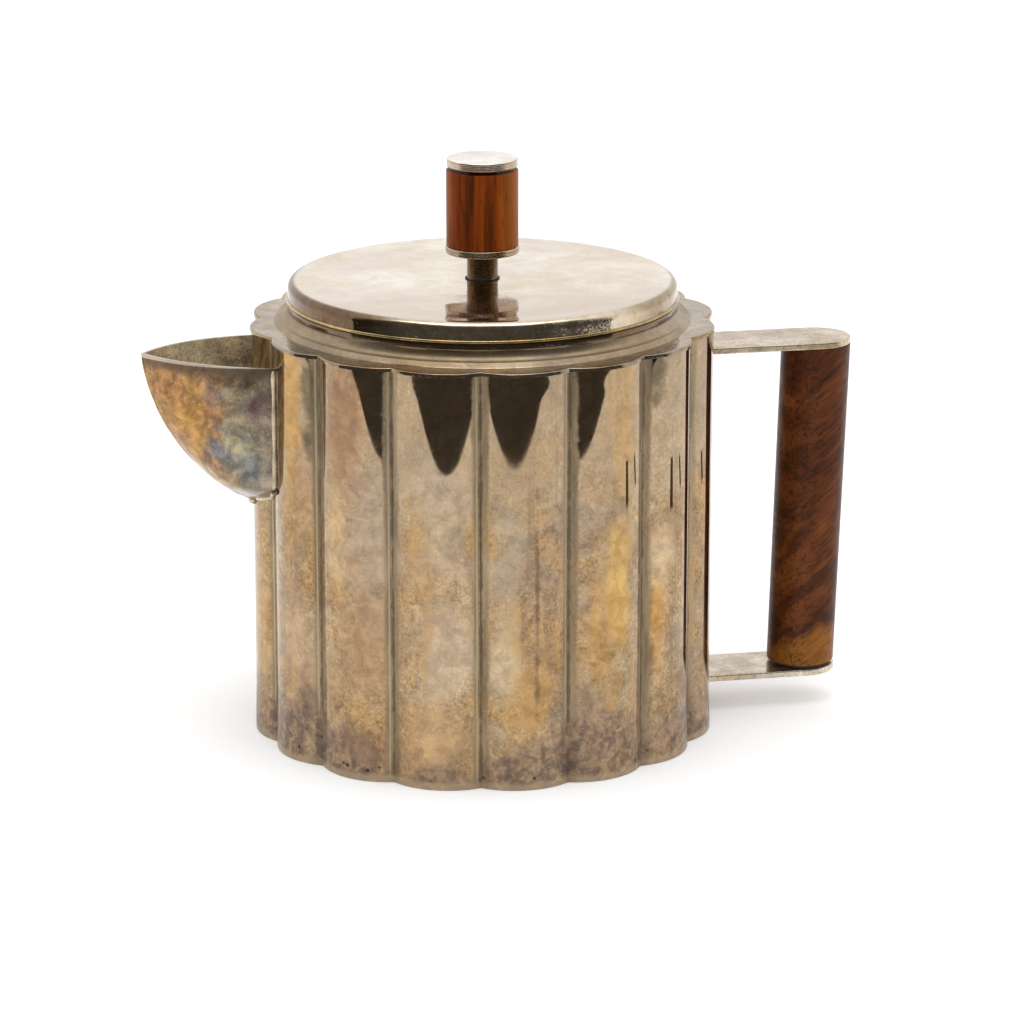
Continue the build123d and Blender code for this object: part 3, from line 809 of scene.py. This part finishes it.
def strainer_punches():
    """Rods along X, one through each strainer hole, as one object."""
    mesh = bpy.data.meshes.new("punch")
    work = bmesh.new()
    for row in range(HOLE_GRID):
        for column in range(HOLE_GRID):
            made = bmesh.ops.create_cone(work, cap_ends=True, segments=24, radius1=HOLE_R * MM,
                                         radius2=HOLE_R * MM, depth=PUNCH_LENGTH * MM)
            at = (-BODY_R, (column - HOLE_GRID // 2) * HOLE_PITCH_Y, HOLE_LOW_Z + HOLE_PITCH_Z * row)
            bmesh.ops.rotate(work, verts=made["verts"], matrix=Matrix.Rotation(math.radians(90), 3, "Y"))
            bmesh.ops.translate(work, verts=made["verts"], vec=[c * MM for c in at])
    work.to_mesh(mesh)
    work.free()
    punches = bpy.data.objects.new("punches", mesh)
    bpy.context.scene.collection.objects.link(punches)
    return punches


def add_shoulder():
    """Scalloped shoulder plate with a softened edge."""
    edge = 0.4
    rings = []
    rows = [(0, WALL_TOP, 0)]  # inset, height, share of the way to the bore
    for a in np.radians(np.linspace(0, 90, 6)):
        rows.append((edge * (1 - math.cos(a)), SHOULDER_TOP - edge * (1 - math.sin(a)), 0))
    rows += [(edge, SHOULDER_TOP, s) for s in np.linspace(0, 1, 16)[1:]]
    rows += [(0, WALL_TOP, s) for s in np.linspace(1, 0, 6)[:-1]]
    for inset, z, share in rows:
        ring = fluted_ring(inset, z)
        bore = ring[:, :2] / np.linalg.norm(ring[:, :2], axis=1)[:, None] * NECK_BORE
        ring[:, :2] += share * (bore - ring[:, :2])
        rings.append(ring)
    points = np.array(rings)
    radius = np.linalg.norm(points[..., :2], axis=-1)
    lift = 0.05 * waves(points, 31, 14) * np.clip((radius - 51.9) / 1.5, 0, 1)
    top = points[..., 2] > SHOULDER_TOP - edge
    points[..., 2] -= np.where(top, np.abs(lift), 0)
    faces = grid_faces(len(rows), len(OUT_NORMAL), wrap_rows=True)
    build("scalloped_shoulder", points, faces, "pot", "shoulder_silver", ("shoulder_plate",))


def add_neck():
    """Sloping step, cove and upright collar."""
    profile = run((NECK_BORE, SHOULDER_TOP), (NECK_FOOT_R, SHOULDER_TOP), 5)
    profile += run((NECK_FOOT_R, SHOULDER_TOP), (50.72, 105), 5) + arc((50.55, 104.95), 0.15, 35, 100, 4)
    profile += arc_through((50.3, 105.1), (48.875, 105.88), (NECK_R, 107.7), 14)
    profile += run((NECK_R, 107.75), (NECK_R, 108.75), 4)
    profile += [(NECK_R - 0.05, 108.9), (NECK_R - 0.2, COLLAR_TOP), (NECK_BORE + 0.1, COLLAR_TOP)]
    profile += run((NECK_BORE, 108.9), (NECK_BORE, SHOULDER_TOP), 5)
    points, faces = lathe(profile, LATHE_SIDES)
    height = points[..., 2]
    free = np.clip((height - SHOULDER_TOP) * (LID_SEAT - height), 0, 1)
    swell = 0.05 * waves(points, 41, 22, (1, 1, 0.3)) * free
    outward = points[..., :2] / np.linalg.norm(points[..., :2], axis=-1)[..., None]
    points[..., :2] += swell[..., None] * outward
    build("neck_collar", points, faces, "pot", "shoulder_silver", ("neck_ring",), 30)


def add_lid():
    """Flat lid with a rolled edge, very slightly uneven."""
    roll_r, roll_z = LID_R - LID_EDGE_R, LID_TOP - LID_EDGE_R
    under = LID_TOP - LID_SHEET
    profile = run((LID_R, RIM_TOP), (LID_R, roll_z), 5)
    profile += arc((roll_r, roll_z), LID_EDGE_R, 0, 90, 14)
    profile += run((roll_r - 0.8, LID_TOP), (STEM_BORE, LID_TOP), 46)
    profile += [(STEM_BORE, LID_TOP), (STEM_BORE, under)]
    profile += run((STEM_BORE + 0.5, under), (roll_r, under), 12)
    profile += arc((roll_r, roll_z), LID_EDGE_R - LID_SHEET, 90, 0, 8)
    profile += [(LID_R - LID_SHEET, RIM_TOP)]
    points, faces = lathe(profile, LATHE_SIDES)
    radius = np.linalg.norm(points[..., :2], axis=-1)
    flat = points * (1, 1, 0)
    field = 0.055 * waves(flat, 51, 38) + 0.02 * waves(flat, 52, 15)
    level = np.clip((45.5 - radius) / 4, 0, 1) * np.clip((radius - 8.5) / 5, 0, 1)
    points[..., 2] -= np.abs(field) * level + 0.1 * level
    points[..., 2] = np.minimum(points[..., 2], LID_TOP)
    outward = points[..., :2] / radius[..., None]
    side = np.clip((radius - 46.5) / 1, 0, 1) * np.clip((LID_TOP - 0.5 - points[..., 2]) / 1, 0, 1)
    points[..., :2] -= (side * 0.05 * np.abs(waves(flat, 53, 24)))[..., None] * outward
    build("lid_shell", points, faces, "lid", "lid_silver", ("lid_pan",), 50)


def add_rim():
    """Half-round wire under the lid's edge."""
    wire = (RIM_TOP - LID_SEAT) / 2
    profile = [(47.3, LID_SEAT), (48.1, LID_SEAT)]
    profile += arc((LID_R, LID_SEAT + wire), wire, -90, 90, 10)
    profile += [(48.1, RIM_TOP), (47.3, RIM_TOP)]
    points, faces = lathe(profile, LATHE_SIDES)
    build("rim_wire", points, faces, "lid", "rim_brass", ("lid_rim_band",), 60)


def turned_disc(name, profile, node):
    """Turned silver disc from its closed (radius, height) outline."""
    points, faces = lathe(profile, DISC_SIDES)
    return build(name, points, faces, "lid", "knob_silver", (node,), 60)


def grooved_side(radius, low, high, edge, grooves, depth):
    """Side of a turned disc, from its lower rim to its upper one, with fine V lines."""
    side = arc((radius - edge, low + edge), edge, -90, 0, 6)
    for z in grooves:
        side += [(radius, z - depth), (radius - depth, z), (radius, z + depth)]
    return side + arc((radius - edge, high - edge), edge, 0, 90, 6)


def add_knob():
    """The knob's flange under the barrel, and its cap with fine turning rings on top."""
    profile = grooved_side(DISC_R, DISC_LOW, DISC_TOP, 0.42, (121.45,), 0.1)
    profile += run((8.2, DISC_TOP), (STEM_BORE, DISC_TOP), 8)
    profile += run((STEM_BORE, DISC_TOP), (STEM_BORE, DISC_LOW), 3)
    profile += run((STEM_BORE, DISC_LOW), (8.68, DISC_LOW), 6)
    turned_disc("knob_flange", profile, "knob_disc")
    profile = grooved_side(CAP_R, CAP_LOW, CAP_TOP, 0.36, (142.85, 143.25, 143.65), 0.09)
    for r in np.linspace(8.2, 0.4, 40):
        profile.append((r, CAP_TOP - 0.012 * (1 - math.cos(r * 5.2)) - 0.05 * (1 - (r / 8.2) ** 2)))
    profile += [(0, CAP_TOP - 0.05), (0, CAP_BLIND)]
    profile += run((0.6, CAP_BLIND), (STEM_BORE, CAP_BLIND), 3)
    profile += [(STEM_BORE, CAP_BLIND), (STEM_BORE, CAP_LOW)]
    profile += run((4.5, CAP_LOW), (8.39, CAP_LOW), 5)
    cap = turned_disc("knob_top", profile, "knob_cap").data
    cap.materials.append(look["cap"])
    for face in cap.polygons:
        if face.normal.z > 0.5:
            face.material_index = 1


def add_stem():
    """Stem with a running thread between the lid and the knob, plain inside the barrel."""
    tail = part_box("knob_stem")[0].z / MM
    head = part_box("knob_stem")[1].z / MM
    turn = np.linspace(0, FULL_TURN, STEM_SIDES, endpoint=False)
    rings = [(0, tail), (STEM_CORE_R - 0.2, tail), (STEM_R - 0.3, tail + 0.3)]
    rings += [(STEM_R, z) for z in np.linspace(tail + 0.5, THREAD_LOW, 10)]
    rings += [(None, z) for z in np.arange(THREAD_LOW + THREAD_STEP, DISC_LOW, THREAD_STEP)]
    rings += [(STEM_R, DISC_LOW), (STEM_R, DISC_TOP), (STEM_CORE_R, DISC_TOP + 0.1)]
    rings += [(STEM_CORE_R, z) for z in np.linspace(123, 142, 8)]
    rings += [(STEM_R, CAP_LOW), (STEM_R, head - 0.2), (STEM_R - 0.2, head), (0, head)]
    points = []
    for radius, z in rings:
        if radius is None:
            climb = (z / THREAD_PITCH - turn / FULL_TURN) % 1.0
            run_in = min(1, (z - THREAD_LOW) / 0.5, (DISC_LOW - z) / 0.3)
            reach = STEM_R - run_in * THREAD_DEPTH * np.abs(2 * climb - 1)
        else:
            reach = np.full(STEM_SIDES, radius)
        points.append(np.column_stack([reach * np.cos(turn), reach * np.sin(turn), np.full(STEM_SIDES, z)]))
    faces = grid_faces(len(points), STEM_SIDES)
    build("threaded_stem", points, faces, "lid", "stem_brass", ("knob_stem",), 70)


# ---- Spout ----
def spout_arc(z, inset):
    """Half width, arc radius and length of the spout's plan section at a height."""
    keel_x = KEEL_CENTRE[0] - math.sqrt(KEEL_R ** 2 - (KEEL_CENTRE[1] - z) ** 2) + inset
    half = SPOUT_HALF_W
    if z < SPOUT_CORNER_Z:
        corner = min(1, (SPOUT_CORNER_Z - z) / (SPOUT_CORNER_Z - SPOUT_FOOT_Z))
        half *= 1 - corner ** SPOUT_CORNER_BEND
    half = max(half - inset, 0.25)
    length = max(SPOUT_ROOT_X - keel_x, 0.5)
    return half, (length ** 2 + half ** 2) / (2 * half), length


def spout_row(z, inset, lift):
    """Points along a plan section from the keel to the wall, on the +Y side."""
    half, radius, length = spout_arc(z - lift, inset)
    full = math.asin(min(1, length / radius))

    def at(angle):
        return np.array([SPOUT_ROOT_X - radius * math.sin(angle), half - radius * (1 - math.cos(angle))])

    low, high = 0, full  # low is inside the wall, high is on the keel
    for _ in range(30):
        middle = (low + high) / 2
        if inside_wall(at(middle), SPOUT_SUNK):
            low = middle
        else:
            high = middle
    return [(*at(a), z) for a in np.linspace(full, high, SPOUT_COLUMNS)]


def rim_height(x):
    """Height of the spout's rim, which climbs a little from the wall to the tip."""
    share = (-BODY_R - x) / (-BODY_R - (KEEL_CENTRE[0] - KEEL_R))
    return SPOUT_RIM_Z + (SPOUT_TIP_Z - SPOUT_RIM_Z) * share


def spout_surface(inset, lift):
    """Grid of points over the +Y half of the spout, drawn in by inset and raised by lift."""
    mean = (SPOUT_RIM_Z + SPOUT_TIP_Z) / 2
    low = SPOUT_LOW_Z + lift
    grid = []
    for share in np.linspace(0, 1, SPOUT_ROWS) ** 1.25:
        row = np.array(spout_row(low + (mean - low) * share, inset, lift))
        row[:, 2] += (rim_height(row[:, 0]) - mean) * share
        grid.append(row)
    return np.array(grid)


def add_spout():
    """Two side panels that meet at the keel, with their solder."""
    outer = spout_surface(0, 0)
    inner = spout_surface(SPOUT_SIDE_T, SPOUT_KEEL_T)
    fade = np.clip(outer[..., 1] / 3, 0, 1)
    swell = np.abs(0.06 * waves(outer, 61, 16) * fade)
    skin, lining = outer.copy(), inner.copy()
    skin[..., 1] -= swell
    lining[..., 1] = np.clip(np.clip(lining[..., 1], 0, None) - swell, 0, None)
    half = np.concatenate([skin, lining[:, ::-1]], axis=1)
    ring = 2 * SPOUT_COLUMNS
    faces = grid_faces(SPOUT_ROWS, ring)
    for first in (0, (SPOUT_ROWS - 1) * ring):  # ends, at the foot and at the rim
        faces += [(first + j, first + j + 1, first + ring - 2 - j, first + ring - 1 - j)
                  for j in range(SPOUT_COLUMNS - 1)]
    for hand, side in (("left", 1), ("right", -1)):
        panel = build(f"spout_side_{hand}", half * (1, side, 1), faces, "pot", "spout_silver",
                      (f"spout_panel_{hand}",), 40)
        panel.data.materials.append(look["inside"])
        for face in panel.data.polygons:
            turned_in = face.normal.y * side < -0.3
            if turned_in or face.normal.z > 0.2 and face.center.z < SPOUT_LINED_Z * MM:
                face.material_index = 1
    for hand, side in (("left", 1), ("right", -1)):
        path = outer[3:, -1] * (1, side, 1) + (-0.55, -0.25 * side, 0)
        path[-1, 2] -= 0.4
        bead(f"spout_seam_{hand}", path, 0.58, "spout_silver", look["seam"], 71)
    keel = outer[2:, 0] + (0.28, 0, 0.22)
    keel[-1, 2] -= 0.3
    bead("keel_seam", keel, 0.42, "spout_silver", look["spout_silver"], 72, 0.08)
    lump("keel_foot", (-58, -0.4, 60.4), (1.25, 1.2, 1.15), look["seam"], 5)
    corner = outer[16, -1] * (1, -1, 1)
    lump("corner_solder", corner + (-0.1, 0.1, -0.9), (1.3, 0.75, 0.8), look["burnt"], 8)


def lump(name, centre, radii, material, seed):
    """Rounded blob of solder at the spout."""
    work = bmesh.new()
    bmesh.ops.create_icosphere(work, subdivisions=4, radius=1)
    points = np.array([v.co for v in work.verts])
    faces = [tuple(v.index for v in f.verts) for f in work.faces]
    work.free()
    points = points * (1 + 0.05 * waves(points * 4, seed, 6))[:, None] * radii + centre
    build(name, points, faces, "pot", "spout_silver", material=material)


def add_strap_seams():
    """Solder runs where the two straps meet the wall."""
    reach = np.linspace(-8.9, 8.9, 40)
    lobe = BODY_R - LOBE_R + np.sqrt(LOBE_R ** 2 - reach ** 2)
    for name, node in (("seam_top_strap", "handle_strap_top"), ("seam_low_strap", "handle_strap_bottom")):
        low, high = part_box(node)
        for face, z in (("upper", high.z / MM), ("under", low.z / MM)):
            path = np.column_stack([lobe, reach, np.full(len(reach), z)])
            bead(f"{name}_{face}", path, 0.5, "strap_silver", look["seam"], 81)


add_wall()
add_shoulder()
add_neck()
add_lid()
add_rim()
add_knob()
add_stem()
add_spout()
add_strap_seams()


# ==== Studio ====
front = np.array([math.sin(math.radians(CAMERA_AZIMUTH)), -math.cos(math.radians(CAMERA_AZIMUTH))])
aside = np.array([-front[1], front[0]])


def table_front():
    """The table's rounded front edge, as (right, towards the camera) pairs."""
    points = []
    for a in np.radians(np.linspace(180, 0, 61)):
        across, towards = (abs(v) ** (2 / TABLE_SQUARENESS) for v in (math.cos(a), math.sin(a)))
        points.append((math.copysign(TABLE_REACH, math.cos(a)) * across, TABLE_DEPTH * towards))
    return points


def stage_mesh(name, points, faces, material):
    """A mesh that is part of the studio, from points in metres."""
    mesh = bpy.data.meshes.new(name)
    mesh.from_pydata([tuple(float(c) for c in p) for p in points], [], faces)
    mesh.materials.append(material)
    thing = bpy.data.objects.new(name, mesh)
    bpy.context.scene.collection.objects.link(thing)
    return thing


def only_reflected(thing):
    """Hide a thing from everything but reflections."""
    thing.visible_camera = False
    thing.visible_diffuse = False
    thing.visible_shadow = False


def plan(points, z=0):
    """World points from (right, towards the camera) pairs in millimetres."""
    return [(*(aside * right + front * near) * MM, z * MM) for right, near in points]


def table_top():
    """White table, which glows a little so that its far side stays white."""
    mat = Finish("table_white")
    mat.put(colour=(0.84, 0.84, 0.84, 1), rough=0.75, specular=0.1, glow=(1, 1, 1, 1), glow_strength=0.22)
    near, far = TABLE_BACK
    outline = table_front()
    outline += [(TABLE_HALF, near), (TABLE_HALF, far), (-TABLE_HALF, far), (-TABLE_HALF, near)]
    stage_mesh("table", plan(outline), [tuple(range(len(outline)))], mat.material)


def dark_bars():
    """Two dark bars lying on the table beyond the picture's right edge, seen only as reflections."""
    mat = Finish("bar_dark")
    mat.put(colour=(0.02, 0.02, 0.02, 1), rough=0.6)
    for name, ((right, near), (half, thin)) in BARS.items():
        corners = [(right + i * half, near + j * thin) for i, j in ((-1, -1), (1, -1), (1, 1), (-1, 1))]
        only_reflected(stage_mesh(name, plan(corners, 1), [(0, 1, 2, 3)], mat.material))


def dark_room():
    """The unlit side of the room, behind the camera. Only reflections see it."""
    mat = Finish("room_dark")
    mat.put(colour=(0, 0, 0, 1), rough=1, glow=(0.062, 0.056, 0.05, 1), glow_strength=1)
    columns, rows = 40, 24
    points = []
    for e in np.radians(np.linspace(-80, 66, rows)):
        for a in np.radians(np.linspace(-80, 80, columns)):
            level = (front * math.cos(a) + aside * math.sin(a)) * math.cos(e)
            points.append((*(ROOM_R * level), ROOM_Z + ROOM_R * math.sin(e)))
    faces = grid_faces(rows, columns, wrap_columns=False)
    only_reflected(stage_mesh("room", points, faces, mat.material))


def softbox():
    """Large lamp above the pot."""
    light = bpy.data.lights.new("softbox_top", "AREA")
    light.shape = "RECTANGLE"
    light.size, light.size_y = LAMP_SIZE
    light.energy = LAMP_POWER
    holder = bpy.data.objects.new("softbox_top", light)
    bpy.context.scene.collection.objects.link(holder)
    holder.location = LAMP_AT
    direction = Vector(LAMP_AIM) - Vector(LAMP_AT)
    holder.rotation_euler = direction.to_track_quat("-Z", "Y").to_euler()


table_top()
dark_bars()
dark_room()
softbox()
world = bpy.data.worlds.new("studio")
world.use_nodes = True
world.node_tree.nodes["Background"].inputs["Color"].default_value = (1, 1, 1, 1)
world.node_tree.nodes["Background"].inputs["Strength"].default_value = WORLD_STRENGTH
bpy.context.scene.world = world
bpy.context.scene.view_settings.view_transform = "Standard"

lens = bpy.data.cameras.new("camera")
lens.sensor_width = 36.0
lens.lens = CAMERA_LENS
lens.clip_start = 0.01
lens.clip_end = 50.0
camera = bpy.data.objects.new("camera", lens)
bpy.context.scene.collection.objects.link(camera)
camera.location = CAMERA_AT
camera.rotation_euler = (math.radians(90 - CAMERA_PITCH), 0, math.radians(CAMERA_AZIMUTH))
bpy.context.scene.camera = camera
